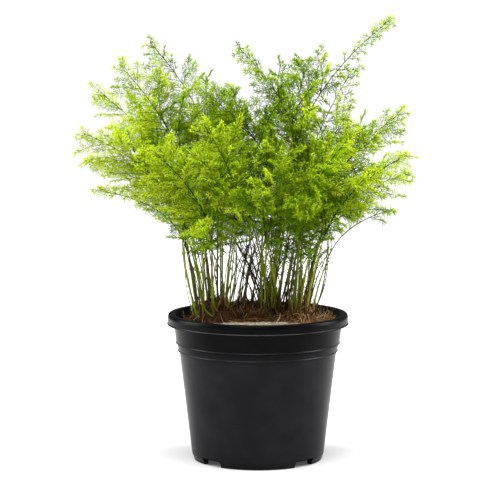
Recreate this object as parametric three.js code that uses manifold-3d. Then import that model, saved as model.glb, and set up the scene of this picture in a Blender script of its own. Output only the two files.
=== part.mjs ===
// A potted asparagus fern: a plastic nursery pot, its soil, four fibrous root crowns,
// wiry stems and one flat feathery frond on each living stem.
// Millimetres, +Z up. The origin is the middle of the pot's foot, on the surface it stands on.
// The plant's best side faces -Y.

import * as THREE from 'three';
import { mergeVertices } from 'three/addons/utils/BufferGeometryUtils.js';
import Module from 'manifold-3d';

const wasm = await Module();
wasm.setup();

// ---------------------------------------------------------------- driving dimensions

const RIM_RADIUS = 65;           // outside of the rolled rim
const POT_HEIGHT = 105;
const FOOT_RADIUS = 46;          // outside of the ring that the pot stands on
const FOOT_WIDTH = 4;            // of that ring
const WALL = 1.4;                // thickness of the pot's wall
const RIM_WIDTH = 6;             // how far the rim stands out from the inside of the wall
const RIM_DROP = 7.5;            // height of the rim's skirt
const COLLAR_DROP = 27;          // from the top of the pot to the lower collar step
const COLLAR_STEP = 0.9;         // how far each of the two fine steps stands out
const COLLAR_SPACING = 5.6;      // between the two steps
const FOOT_HEIGHT = 2.4;         // clearance under the pot's floor
const FLOOR_THICKNESS = 1.6;
const NOTCH_WIDTH = 17;          // drain notches through the foot ring and the base edge
const NOTCH_HEIGHT = 5;
const NOTCH_COUNT = 4;

const SOIL_DROP = 6.5;           // from the top of the pot down to the soil's edge
const SOIL_DOME = 3;             // how much higher the soil is in the middle
const CRUST_THICKNESS = 1;

const PLANT_HEIGHT = 216;        // from the soil to the highest frond tip
const PLANT_HALF_WIDTH = 120;    // from the pot's axis to the widest tips, along X
const PLANT_HALF_DEPTH = 80;     // the same along Y

const STEM_FOOT_RADIUS = 1.1;
const STEM_TOP_RADIUS = 0.55;
const DRY_STEM_RADIUS = 0.8;
const FROND_HALF_WIDTH = 23;     // a frond of width 1 reaches this far from its midrib
const FROND_HALF_THICKNESS = 1.5;
const MIDRIB_ROOM = 2;           // kept free round every midrib, for its narrowest blade

const GAP = 0.35;                // between two pieces that touch
const CLEARANCE = 0.5;           // between two shoots that pass each other

// ---------------------------------------------------------------- small helpers

const POT_SEGMENTS = 60;
const Z_AXIS = new THREE.Vector3(0, 0, 1);

const colours = {
  plastic: new THREE.MeshStandardMaterial({ color: 0x1d1e20, roughness: 0.5, metalness: 0 }),
  soil: new THREE.MeshStandardMaterial({ color: 0x3a2415, roughness: 1, metalness: 0 }),
  crust: new THREE.MeshStandardMaterial({ color: 0xbdb3a4, roughness: 1, metalness: 0 }),
  crown: new THREE.MeshStandardMaterial({ color: 0x4a2c14, roughness: 1, metalness: 0 }),
  stem: new THREE.MeshStandardMaterial({ color: 0x5c7a1a, roughness: 0.6, metalness: 0 }),
  dryStem: new THREE.MeshStandardMaterial({ color: 0x2a1c10, roughness: 0.8, metalness: 0 }),
  frond: new THREE.MeshStandardMaterial({ color: 0x6fae12, roughness: 0.7, metalness: 0 }),
};

function mix(a, b, share) {
  return a + (b - a) * share;
}

// A closed mesh through rings of equally many points, with a flat end at each end.
// Each ring's points run anticlockwise when seen from the next ring.
function solidFromRings(rings) {
  const sides = rings[0].length;
  const positions = rings.flat().flatMap((p) => [p.x, p.y, p.z]);
  const index = [];
  for (let ring = 0; ring < rings.length - 1; ring += 1) {
    for (let side = 0; side < sides; side += 1) {
      const a = ring * sides + side;
      const b = ring * sides + (side + 1) % sides;
      index.push(a, b, b + sides, a, b + sides, a + sides);
    }
  }
  const last = (rings.length - 1) * sides;
  for (let side = 1; side < sides - 1; side += 1) {
    index.push(0, side + 1, side);
    index.push(last, last + side, last + side + 1);
  }
  const geometry = new THREE.BufferGeometry();
  geometry.setAttribute('position', new THREE.Float32BufferAttribute(positions, 3));
  geometry.setIndex(index);
  geometry.computeVertexNormals();
  return geometry;
}

function latheUp(points, segments) {
  const profile = points.map(([radius, height]) => new THREE.Vector2(radius, height));
  const geometry = new THREE.LatheGeometry(profile, segments);
  geometry.rotateX(Math.PI / 2);
  return geometry;
}

function toManifold(geometry) {
  const bare = geometry.clone();
  bare.deleteAttribute('normal');
  bare.deleteAttribute('uv');
  const merged = mergeVertices(bare, 1e-3);
  return new wasm.Manifold(new wasm.Mesh({
    numProp: 3,
    vertProperties: new Float32Array(merged.attributes.position.array),
    triVerts: new Uint32Array(merged.index.array),
  }));
}

function fromManifold(solid) {
  const mesh = solid.getMesh();
  const geometry = new THREE.BufferGeometry();
  geometry.setAttribute('position', new THREE.Float32BufferAttribute(mesh.vertProperties, 3));
  geometry.setIndex([...mesh.triVerts]);
  geometry.computeVertexNormals();
  return geometry;
}

const plant = new THREE.Group();

function addPiece(name, geometry, material) {
  const mesh = new THREE.Mesh(geometry, material);
  mesh.name = name;
  plant.add(mesh);
}

// ---------------------------------------------------------------- pot

const rimTop = POT_HEIGHT;
const rimBottom = POT_HEIGHT - RIM_DROP;
const floorTop = FOOT_HEIGHT + FLOOR_THICKNESS;
const lowerStep = POT_HEIGHT - COLLAR_DROP;
const upperStep = lowerStep + COLLAR_SPACING;
const rimInside = RIM_RADIUS - RIM_WIDTH;
const baseRadius = FOOT_RADIUS + WALL;
const collarRadius = rimInside + WALL - 2 * COLLAR_STEP;

// Outside radius of the pot's wall, with its two fine steps.
function wallRadius(height) {
  const taper = mix(baseRadius, collarRadius, (height - floorTop) / (rimBottom - floorTop));
  const steps = (height > lowerStep ? 1 : 0) + (height > upperStep ? 1 : 0);
  return taper + steps * COLLAR_STEP;
}

// Inside radius: the wall is thicker where its steps stand out.
function insideRadius(height) {
  const taper = mix(baseRadius, collarRadius, (height - floorTop) / (rimBottom - floorTop));
  return taper - WALL;
}

function makePot() {
  const padRadius = FOOT_RADIUS * 0.27;
  const footInside = FOOT_RADIUS - FOOT_WIDTH;
  const stepHeight = 0.5;
  const cornerHeight = 1.6;
  const lip = 1.5;
  const bead = RIM_RADIUS - 1.2;
  const profile = [
    [0, 0],
    [padRadius, 0],
    [padRadius, FOOT_HEIGHT],
    [footInside, FOOT_HEIGHT],
    [footInside, 0],
    [FOOT_RADIUS, 0],
    [FOOT_RADIUS + 0.2, cornerHeight],
    [baseRadius, floorTop],
    [wallRadius(lowerStep), lowerStep],
    [wallRadius(lowerStep + stepHeight), lowerStep + stepHeight],
    [wallRadius(upperStep), upperStep],
    [wallRadius(upperStep + stepHeight), upperStep + stepHeight],
    [wallRadius(rimBottom + lip), rimBottom + lip],
    [wallRadius(rimBottom + lip) + 0.4, rimTop - 2 * lip],
    [RIM_RADIUS - lip, rimTop - 2 * lip],
    [RIM_RADIUS - lip, rimBottom],
    [RIM_RADIUS - 0.3, rimBottom],
    [RIM_RADIUS, rimBottom + lip],
    [RIM_RADIUS - 0.3, rimTop - 2.2],
    [bead, rimTop - 0.7],
    [bead - 1.5, rimTop],
    [rimInside + lip, rimTop],
    [rimInside + 0.4, rimTop - 0.8],
    [rimInside - 0.2, rimTop - lip],
    [insideRadius(floorTop + 2), floorTop + 2],
    [insideRadius(floorTop) - lip, floorTop],
    [0, floorTop],
  ];
  let solid = toManifold(latheUp(profile, POT_SEGMENTS));
  const notchInside = footInside - 1.5;
  const notchDepth = 2 * (baseRadius - notchInside);
  for (let index = 0; index < NOTCH_COUNT; index += 1) {
    const angle = (index + 0.5) * 2 * Math.PI / NOTCH_COUNT;
    const notch = new THREE.BoxGeometry(notchDepth, NOTCH_WIDTH, 2 * NOTCH_HEIGHT);
    notch.translate(notchInside + notchDepth / 2, 0, 0);
    notch.rotateZ(angle);
    solid = solid.subtract(toManifold(notch));
  }
  return fromManifold(solid);
}

addPiece('pot', makePot(), colours.plastic);

// ---------------------------------------------------------------- soil and its pale crust

const soilEdge = POT_HEIGHT - SOIL_DROP;
const soilRadius = insideRadius(soilEdge) - GAP;

function soilHeight(radius) {
  return soilEdge + SOIL_DOME * (1 - (radius / soilRadius) ** 2);
}

function makeSoil() {
  const bottom = floorTop + GAP;
  const chamfer = 2.5;
  const surfaceSteps = 6;
  const profile = [
    [0, bottom],
    [insideRadius(bottom + chamfer) - chamfer, bottom],
    [insideRadius(bottom + chamfer) - GAP, bottom + chamfer],
  ];
  for (let step = 0; step <= surfaceSteps; step += 1) {
    const radius = soilRadius * (1 - step / surfaceSteps);
    profile.push([radius, soilHeight(radius)]);
  }
  return latheUp(profile, POT_SEGMENTS);
}

addPiece('substrate', makeSoil(), colours.soil);

// The pale crust is a thin crescent on the soil, inside the front of the rim.
function makeCrust() {
  const halfAngle = 0.95;
  const steps = 22;
  const outerRadius = soilRadius - 3;
  const innerMiddle = outerRadius * 0.4;
  const innerEnd = outerRadius * 0.84;
  const rings = [];
  for (let step = 0; step <= steps; step += 1) {
    const share = 2 * step / steps - 1;
    const angle = -Math.PI / 2 + share * halfAngle;
    const wave = 0.6 * Math.sin(9 * share);
    const inner = mix(innerMiddle, innerEnd, share ** 2) + wave;
    const outer = outerRadius - 3 * share ** 4;
    const at = (radius, lift) => new THREE.Vector3(
      radius * Math.cos(angle),
      radius * Math.sin(angle),
      soilHeight(radius) + GAP + lift,
    );
    const bevel = CRUST_THICKNESS;
    const middle = (inner + outer) / 2;
    rings.push([
      at(inner, 0),
      at(inner + bevel, CRUST_THICKNESS),
      at(middle, CRUST_THICKNESS * 1.15),
      at(outer - bevel, CRUST_THICKNESS),
      at(outer, 0),
      at(middle, 0),
    ]);
  }
  return solidFromRings(rings);
}

addPiece('lime_crust', makeCrust(), colours.crust);

// ---------------------------------------------------------------- root crowns

// Places and radii are shares of the soil's radius; heights are millimetres.
const CROWNS = {
  left: { x: -0.54, y: -0.08, radiusX: 0.31, radiusY: 0.38, height: 15 },
  centre: { x: 0.19, y: 0.3, radiusX: 0.17, radiusY: 0.28, height: 14 },
  right: { x: 0.54, y: -0.06, radiusX: 0.22, radiusY: 0.34, height: 13 },
  back: { x: -0.2, y: 0.68, radiusX: 0.36, radiusY: 0.14, height: 8 },
};

// A place on a crown: u and v are shares of its radii, heightShare scales its mound.
function crownPlace(crown, u, v, heightShare = 1) {
  const x = soilRadius * (crown.x + u * crown.radiusX);
  const y = soilRadius * (crown.y + v * crown.radiusY);
  const rise = heightShare * crown.height * Math.max(0, 1 - u * u - v * v);
  return new THREE.Vector3(x, y, soilHeight(Math.hypot(x, y)) + GAP + rise);
}

// The underside follows the soil, and the top is a mound.
function makeCrown(crown) {
  const around = 24;
  const underside = [0.1, 0.4, 0.7, 1].map((share) => [share, 0]);
  const mound = [0.84, 0.6, 0.34, 0.1].map((share) => [share, 1]);
  const rings = [...underside, ...mound].map(([share, heightShare]) => {
    const ring = [];
    for (let step = 0; step < around; step += 1) {
      const angle = 2 * Math.PI * step / around;
      const u = share * Math.cos(angle);
      const v = share * Math.sin(angle);
      ring.push(crownPlace(crown, u, v, heightShare));
    }
    return ring;
  });
  return solidFromRings(rings);
}

for (const [name, crown] of Object.entries(CROWNS)) {
  addPiece(`crown_${name}`, makeCrown(crown), colours.crown);
}

// ---------------------------------------------------------------- shoots

// knee is where a stem ends and its frond begins; knee and tip are shares of the plant's half
// width, half depth and height above the soil. foot is a place on a crown, in shares of the
// crown's radii. width is a share of FROND_HALF_WIDTH. roll is how far the frond's face turns
// from lying flat, 0, to facing front, 90.
const SHOOTS = [
  { name: 'left_low', crown: 'left', foot: [-0.72, -0.3],
    knee: [-0.42, -0.14, 0.24], tip: [-0.97, -0.32, 0.45], width: 0.75, roll: 62 },
  { name: 'left_spread', crown: 'left', foot: [-0.7, 0.25],
    knee: [-0.44, 0.08, 0.29], tip: [-1.03, 0.12, 0.53], width: 0.8, roll: 70 },
  { name: 'left_edge', crown: 'left', foot: [-0.45, -0.62],
    knee: [-0.42, -0.34, 0.32], tip: [-1, -0.62, 0.64], width: 0.9, roll: 66 },
  { name: 'left_back', crown: 'left', foot: [-0.5, 0.62],
    knee: [-0.44, 0.36, 0.37], tip: [-0.96, 0.6, 0.75], width: 0.95, roll: 75 },
  { name: 'left_high', crown: 'left', foot: [-0.3, -0.1],
    knee: [-0.38, -0.04, 0.41], tip: [-0.81, -0.12, 0.85], width: 0.95, roll: 78 },
  { name: 'left_top', crown: 'left', foot: [0.1, 0.3],
    knee: [-0.24, 0.16, 0.43], tip: [-0.64, 0.2, 0.92], width: 1, roll: 80 },
  { name: 'left_front', crown: 'left', foot: [-0.05, -0.72],
    knee: [-0.27, -0.46, 0.27], tip: [-0.62, -0.9, 0.6], width: 1, roll: 58 },
  { name: 'left_inner', crown: 'left', foot: [0.45, -0.4],
    knee: [-0.13, -0.38, 0.31], tip: [-0.32, -0.82, 0.68], width: 1, roll: 50 },
  { name: 'left_curtain', crown: 'left', foot: [-0.1, 0.75],
    knee: [-0.33, 0.5, 0.24], tip: [-0.78, 0.85, 0.5], width: 0.9, roll: 60 },
  { name: 'top_arch', crown: 'centre', foot: [-0.6, -0.45],
    knee: [0.06, -0.2, 0.47], tip: [-0.37, -0.34, 0.78], width: 0.8, roll: 68 },
  { name: 'top_middle', crown: 'centre', foot: [-0.4, 0.45],
    knee: [-0.07, 0.28, 0.39], tip: [-0.17, 0.42, 0.76], width: 1, roll: 72 },
  { name: 'top_spray', crown: 'centre', foot: [-0.1, -0.7],
    knee: [0.2, -0.12, 0.53], tip: [-0.12, -0.2, 0.91], width: 0.8, roll: 70 },
  { name: 'top_tall', crown: 'centre', foot: [-0.2, 0.05],
    knee: [0.21, 0.05, 0.55], tip: [0.79, 0.1, 1], width: 0.85, roll: 74 },
  { name: 'top_side', crown: 'centre', foot: [0.5, 0.1],
    knee: [0.27, 0.2, 0.47], tip: [0.58, 0.36, 0.84], width: 0.7, roll: 72 },
  { name: 'front_middle', crown: 'centre', foot: [0.35, -0.6],
    knee: [0.05, -0.38, 0.28], tip: [0.12, -1, 0.6], width: 1, roll: 24 },
  { name: 'front_right', crown: 'right', foot: [-0.35, -0.6],
    knee: [0.24, -0.38, 0.29], tip: [0.5, -0.85, 0.62], width: 1, roll: 46 },
  { name: 'right_upper', crown: 'right', foot: [-0.45, 0.1],
    knee: [0.27, -0.05, 0.33], tip: [0.52, -0.3, 0.7], width: 1, roll: 66 },
  { name: 'right_high', crown: 'right', foot: [0, -0.25],
    knee: [0.36, 0.04, 0.35], tip: [0.85, 0.1, 0.69], width: 0.85, roll: 74 },
  { name: 'right_spread', crown: 'right', foot: [0.3, -0.62],
    knee: [0.38, -0.27, 0.28], tip: [0.87, -0.5, 0.57], width: 0.8, roll: 66 },
  { name: 'right_edge', crown: 'right', foot: [0.35, 0.35],
    knee: [0.38, 0.27, 0.27], tip: [0.91, 0.4, 0.48], width: 0.8, roll: 72 },
  { name: 'right_low', crown: 'right', foot: [0.7, -0.1],
    knee: [0.42, -0.06, 0.22], tip: [0.8, -0.12, 0.38], width: 0.75, roll: 64 },
  { name: 'back_left', crown: 'back', foot: [-0.6, 0],
    knee: [-0.15, 0.57, 0.31], tip: [-0.4, 0.95, 0.7], width: 1, roll: 60 },
  { name: 'back_middle', crown: 'back', foot: [0.35, 0.1],
    knee: [0.08, 0.58, 0.31], tip: [0.16, 1, 0.68], width: 1, roll: 30 },
  { name: 'back_right', crown: 'right', foot: [-0.1, 0.72],
    knee: [0.27, 0.47, 0.28], tip: [0.6, 0.85, 0.62], width: 1, roll: 56 },
];

// Dead stems have no frond. top is in the same shares as a knee; bow bends them sideways.
const DRY_STEMS = [
  { name: 'dry_left', crown: 'back', foot: [-0.15, -0.2], top: [-0.02, 0.5, 0.3], bow: 9 },
  { name: 'dry_middle', crown: 'back', foot: [0.68, -0.1], top: [0.16, 0.42, 0.27], bow: -7 },
  { name: 'dry_centre', crown: 'centre', foot: [-0.75, 0.2], top: [-0.16, 0.26, 0.28], bow: 8 },
  { name: 'dry_right', crown: 'right', foot: [-0.72, 0.2], top: [0.24, 0.18, 0.25], bow: -5 },
  { name: 'dry_edge', crown: 'right', foot: [0.2, 0.7], top: [0.36, 0.42, 0.24], bow: 4 },
];

function plantPlace([x, y, z]) {
  return new THREE.Vector3(
    x * PLANT_HALF_WIDTH,
    y * PLANT_HALF_DEPTH,
    soilEdge + z * PLANT_HEIGHT,
  );
}

// Where a stem of this radius stands on its crown, just clear of the crown's slope.
const SLOPE_ROOM = 0.3;          // share of the stem's radius, for the curve of the mound

function footPlace(shoot, radius) {
  const crown = CROWNS[shoot.crown];
  const [u, v] = shoot.foot;
  const place = crownPlace(crown, u, v);
  const smallestRadius = soilRadius * Math.min(crown.radiusX, crown.radiusY);
  const slope = 2 * crown.height * Math.hypot(u, v) / smallestRadius;
  place.z += GAP + radius * (slope + SLOPE_ROOM);
  return place;
}

// A stem leaves the crown steeply and leans out as it rises. Each bend is how far out and
// how far up it lies, as shares of the way from foot to top.
const LOW_BEND = { out: 0.22, up: 0.36 };
const HIGH_BEND = { out: 0.6, up: 0.7 };

function bendPoint(foot, top, bend) {
  return new THREE.Vector3(
    mix(foot.x, top.x, bend.out),
    mix(foot.y, top.y, bend.out),
    mix(foot.z, top.z, bend.up),
  );
}

// sway bends the stem out of its neighbours' way.
function stemCurve(foot, top, sway) {
  const lowBend = bendPoint(foot, top, LOW_BEND).add(sway);
  const highBend = bendPoint(foot, top, HIGH_BEND).add(sway);
  return new THREE.CubicBezierCurve3(foot, lowBend, highBend, top);
}

// Two directions square to a curve's direction: one level, one upward.
function crossDirections(tangent) {
  const level = new THREE.Vector3().crossVectors(Z_AXIS, tangent).normalize();
  const upward = new THREE.Vector3().crossVectors(tangent, level).normalize();
  return { level, upward };
}

function makeStem(curve, footRadius, topRadius, extra) {
  const sides = 6;
  const steps = 8;
  const rings = [];
  for (let step = 0; step <= steps; step += 1) {
    const share = step / steps;
    const centre = curve.getPoint(share);
    const tangent = curve.getTangent(share);
    const { level, upward } = crossDirections(tangent);
    const radius = mix(footRadius, topRadius, share) + extra;
    const ring = [];
    for (let side = 0; side < sides; side += 1) {
      const angle = 2 * Math.PI * side / sides;
      ring.push(centre.clone()
        .addScaledVector(level, radius * Math.cos(angle))
        .addScaledVector(upward, radius * Math.sin(angle)));
    }
    rings.push(ring);
  }
  return solidFromRings(rings);
}

// How far a frond reaches from its midrib, as a share of its half width: it starts a little
// way into the curve, is soon widest, and then narrows to the tip.
const OUTLINE = { start: 0.06, skew: 0.55, fullness: 0.8 };

function frondOutline(share) {
  const place = Math.min(1, mix(OUTLINE.start, 1, share)) ** OUTLINE.skew;
  return Math.sin(Math.PI * place) ** OUTLINE.fullness;
}

// A flat blade along a curve. Every second ring is a pair of teeth that point forward;
// the rings between them are the notches between the teeth.
function makeFrond(curve, halfWidth, rollDegrees, extra) {
  const steps = 17;
  const notchShare = 0.5;
  const toothLean = 0.3;
  const tipHalfWidth = 0.5;
  const tipThinness = 0.45;
  const roll = THREE.MathUtils.degToRad(rollDegrees);
  const rings = [];
  for (let step = 0; step <= steps; step += 1) {
    const share = step / steps;
    const centre = curve.getPoint(share);
    const tangent = curve.getTangent(share);
    const { level, upward } = crossDirections(tangent);
    const across = level.clone().multiplyScalar(Math.cos(roll))
      .addScaledVector(upward, Math.sin(roll));
    const through = new THREE.Vector3().crossVectors(tangent, across);
    const isEnd = step === 0 || step === steps;
    const tooth = step % 2 === 1 ? 1 : notchShare;
    const reach = isEnd ? 0 : halfWidth * tooth * frondOutline(share);
    const ahead = isEnd || step % 2 === 0 ? 0 : toothLean * halfWidth * (1 - share);
    const half = Math.max(tipHalfWidth, reach) + extra;
    const thin = mix(1, tipThinness, share);
    const thick = (isEnd ? tipHalfWidth : FROND_HALF_THICKNESS * thin) + extra;
    const edge = (sign) => centre.clone()
      .addScaledVector(across, sign * half)
      .addScaledVector(tangent, ahead);
    rings.push([
      edge(1),
      centre.clone().addScaledVector(through, thick),
      edge(-1),
      centre.clone().addScaledVector(through, -thick),
    ]);
  }
  return solidFromRings(rings);
}

// Solids already in place, so that later shoots find a free way past them.
const placed = new Map();

function boxOf(geometry) {
  geometry.computeBoundingBox();
  return geometry.boundingBox;
}

function keepPlace(name, geometry) {
  placed.set(name, { box: boxOf(geometry), solid: toManifold(geometry) });
}

function isFree(geometry, ownNames) {
  const box = boxOf(geometry);
  const near = [...placed].filter(([name, other]) => (
    !ownNames.includes(name) && other.box.intersectsBox(box)
  ));
  if (near.length === 0) {
    return true;
  }
  const solid = toManifold(geometry);
  return near.every(([, other]) => solid.intersect(other.solid).isEmpty());
}

function findFree(choices, makeTest, ownNames) {
  return choices.find((choice) => isFree(makeTest(choice), ownNames)) ?? choices.at(-1);
}

// Level moves to try, smallest first, in eight directions.
function levelMoves(reaches) {
  const moves = [new THREE.Vector3()];
  for (const reach of reaches) {
    for (let turn = 0; turn < 8; turn += 1) {
      const angle = Math.PI * turn / 4;
      moves.push(new THREE.Vector3(reach * Math.cos(angle), reach * Math.sin(angle), 0));
    }
  }
  return moves;
}

function growStem(name, foot, top, footRadius, topRadius, bow) {
  const bend = new THREE.Vector3(0, bow, 0);
  const choices = levelMoves([2.5, 5, 8, 12]).map((sway) => stemCurve(foot, top, sway.add(bend)));
  const test = (curve) => makeStem(curve, footRadius, topRadius, CLEARANCE);
  const curve = findFree(choices, test, [name]);
  const geometry = makeStem(curve, footRadius, topRadius, 0);
  addPiece(name, geometry, bow === 0 ? colours.stem : colours.dryStem);
  keepPlace(name, geometry);
  return curve;
}

// The frond's midrib carries on from the stem's direction and bends over to its tip.
const MIDRIB_LEAD = 0.45;        // share of its reach that it first goes straight on

function midribCurve(stem, tip) {
  const direction = stem.getTangent(1);
  const start = stem.getPoint(1).addScaledVector(direction, GAP);
  const reach = start.distanceTo(tip);
  const bend = start.clone().addScaledVector(direction, MIDRIB_LEAD * reach);
  return new THREE.QuadraticBezierCurve3(start, bend, tip);
}

// Every midrib is settled before any blade, with room for its narrowest blade round it.
function settleMidrib(shoot, stem) {
  const choices = levelMoves([4, 8, 12, 16]).map((move) => (
    midribCurve(stem, plantPlace(shoot.tip).add(move))
  ));
  const roomFor = (curve, extra) => makeStem(curve, MIDRIB_ROOM, MIDRIB_ROOM, extra);
  const own = [`stem_${shoot.name}`];
  const curve = findFree(choices, (choice) => roomFor(choice, CLEARANCE), own);
  keepPlace(`frond_${shoot.name}`, roomFor(curve, 0));
  return curve;
}

// A frond's blade is as wide as its neighbours let it be, turned a little if that helps.
function growFrond(shoot, curve) {
  const name = `frond_${shoot.name}`;
  const fullWidth = FROND_HALF_WIDTH * shoot.width;
  const choices = [];
  for (const narrow of [1, 0.9, 0.8, 0.7, 0.6, 0.5, 0.4, 0.3, 0.2]) {
    for (const turn of [0, 8, -8, 16, -16, 26, -26, 38, -38]) {
      choices.push({ halfWidth: fullWidth * narrow, roll: shoot.roll + turn });
    }
  }
  choices.push({ halfWidth: MIDRIB_ROOM, roll: shoot.roll });
  const test = (choice) => makeFrond(curve, choice.halfWidth, choice.roll, CLEARANCE);
  const choice = findFree(choices, test, [`stem_${shoot.name}`, name]);
  const geometry = makeFrond(curve, choice.halfWidth, choice.roll, 0);
  addPiece(name, geometry, colours.frond);
  keepPlace(name, geometry);
}

const stems = SHOOTS.map((shoot) => growStem(
  `stem_${shoot.name}`,
  footPlace(shoot, STEM_FOOT_RADIUS),
  plantPlace(shoot.knee),
  STEM_FOOT_RADIUS,
  STEM_TOP_RADIUS,
  0,
));

for (const dry of DRY_STEMS) {
  const foot = footPlace(dry, DRY_STEM_RADIUS);
  growStem(`stem_${dry.name}`, foot, plantPlace(dry.top), DRY_STEM_RADIUS, STEM_TOP_RADIUS, dry.bow);
}

const midribs = SHOOTS.map((shoot, index) => settleMidrib(shoot, stems[index]));
SHOOTS.forEach((shoot, index) => growFrond(shoot, midribs[index]));

export default plant;
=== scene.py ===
"""A potted asparagus fern in fine detail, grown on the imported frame.

Every stem and frond follows its CAD solid: the stem's centre line, and the frond's midrib,
width and roll, are read back from the frame. Lengths are in metres unless a name says _MM.
"""
import math
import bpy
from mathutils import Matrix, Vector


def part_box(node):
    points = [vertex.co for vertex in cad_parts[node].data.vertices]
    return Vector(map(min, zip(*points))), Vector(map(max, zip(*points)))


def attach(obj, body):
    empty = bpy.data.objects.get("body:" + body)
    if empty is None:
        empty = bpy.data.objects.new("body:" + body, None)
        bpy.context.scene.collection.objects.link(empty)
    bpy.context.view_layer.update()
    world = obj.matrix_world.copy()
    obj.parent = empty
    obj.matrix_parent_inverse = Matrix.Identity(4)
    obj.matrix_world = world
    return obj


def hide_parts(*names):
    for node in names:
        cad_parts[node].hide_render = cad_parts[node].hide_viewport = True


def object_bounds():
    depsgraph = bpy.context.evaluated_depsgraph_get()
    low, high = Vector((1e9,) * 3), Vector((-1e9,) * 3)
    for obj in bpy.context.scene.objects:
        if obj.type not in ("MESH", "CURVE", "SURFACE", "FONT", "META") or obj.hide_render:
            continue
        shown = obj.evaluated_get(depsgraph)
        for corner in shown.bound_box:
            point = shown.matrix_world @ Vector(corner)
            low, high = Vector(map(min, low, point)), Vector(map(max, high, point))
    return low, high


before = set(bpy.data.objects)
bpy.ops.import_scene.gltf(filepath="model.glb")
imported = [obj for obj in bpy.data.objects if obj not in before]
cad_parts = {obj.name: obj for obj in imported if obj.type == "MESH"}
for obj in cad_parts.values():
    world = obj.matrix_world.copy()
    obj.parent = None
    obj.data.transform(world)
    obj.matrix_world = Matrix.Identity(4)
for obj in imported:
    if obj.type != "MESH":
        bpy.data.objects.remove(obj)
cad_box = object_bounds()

import zlib

import bpy
import numpy as np
from mathutils import Vector, noise

MM = 0.001
X_AXIS = np.array([1.0, 0.0, 0.0])
Z_AXIS = np.array([0.0, 0.0, 1.0])
UV_NAME = "OFBake"

SHOOTS = sorted(n[len("frond_"):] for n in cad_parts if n.startswith("frond_"))
DRY_STEMS = sorted(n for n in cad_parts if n.startswith("stem_dry_"))
CROWNS = sorted(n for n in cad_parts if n.startswith("crown_"))


# -------- numbers and directions

def seeded(name):
    """A random source that is always the same for the same name."""
    return np.random.default_rng(zlib.crc32(name.encode()))


def unit(vectors):
    return vectors / np.maximum(np.linalg.norm(vectors, axis=-1, keepdims=True), 1e-12)


def mix(a, b, share):
    return a + (b - a) * share


def circle(radius, height, count):
    """Corners evenly spaced round the Z axis."""
    angles = [2 * math.pi * step / count for step in range(count)]
    return [(radius * math.cos(a), radius * math.sin(a), height) for a in angles]


def box_of(node):
    low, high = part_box(node)
    return np.array(low), np.array(high)


def node_points(node):
    """The separate corner points of a CAD node's mesh."""
    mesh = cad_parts[node].data
    flat = np.empty(len(mesh.vertices) * 3)
    mesh.vertices.foreach_get("co", flat)
    return np.unique(np.round(flat.reshape(-1, 3), 6), axis=0)


# -------- piles of small closed meshes

class Pile:
    """Many small closed meshes gathered into one piece.

    Each corner has a tone, which its material turns into a colour, and a grain, which runs
    along the small mesh. They are kept as the UV map.
    """

    def __init__(self):
        self.points = []
        self.faces = []
        self.tones = []
        self.count = 0

    def add(self, points, faces, tones):
        self.points.append(points.reshape(-1, 3))
        self.faces.append(faces + self.count)
        self.tones.append(tones.reshape(-1, 2))
        self.count += len(self.points[-1])

    def build(self, name, material):
        mesh = bpy.data.meshes.new(name)
        mesh.from_pydata(np.concatenate(self.points), [], np.concatenate(self.faces))
        corner = np.empty(len(mesh.loops), dtype=np.int32)
        mesh.loops.foreach_get("vertex_index", corner)
        layer = mesh.uv_layers.new(name=UV_NAME)
        layer.uv.foreach_set("vector", np.concatenate(self.tones)[corner].ravel())
        mesh.shade_smooth()
        return new_object(name, mesh, material)


def new_object(name, mesh, material):
    piece = bpy.data.objects.new(name, mesh)
    bpy.context.scene.collection.objects.link(piece)
    mesh.materials.append(material)
    return piece


def new_solid(name, points, faces, material):
    mesh = bpy.data.meshes.new(name)
    mesh.from_pydata(points, [], faces)
    return new_object(name, mesh, material)


def hand_over(piece, slot, *nodes):
    """The piece stands for these CAD nodes and moves with the plant."""
    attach(piece, "root")
    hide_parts(*nodes)


def lathe_faces(rings, around):
    """Quads between rings of corners, and a fan at each end.

    The rings' corners come first, then the middle of the first ring and that of the last.
    """
    faces = []
    for ring in range(rings - 1):
        for step in range(around):
            a = ring * around + step
            b = ring * around + (step + 1) % around
            faces.append((a, b, b + around, a + around))
    first, top = rings * around, (rings - 1) * around
    for step in range(around):
        following = (step + 1) % around
        faces.append((first, following, step))
        faces.append((first + 1, top + step, top + following))
    return faces


def tube_faces(rings, sides):
    """The faces of lathe_faces, each cut into triangles from its first corner."""
    faces = lathe_faces(rings, sides)
    return np.array([(f[0], f[k], f[k + 1]) for f in faces for k in range(1, len(f) - 1)])


STEEP = 0.8                      # above this rise, a direction is turned from X and not from Z


def spokes(along, steep, sides):
    """Directions square to each direction in along, evenly all round it."""
    across = unit(np.cross(along, np.where(steep, X_AXIS, Z_AXIS)))[..., None, :]
    over = np.cross(along, across[..., 0, :])[..., None, :]
    angles = 2 * np.pi * np.arange(sides)[:, None] / sides
    return np.cos(angles) * across + np.sin(angles) * over


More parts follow.
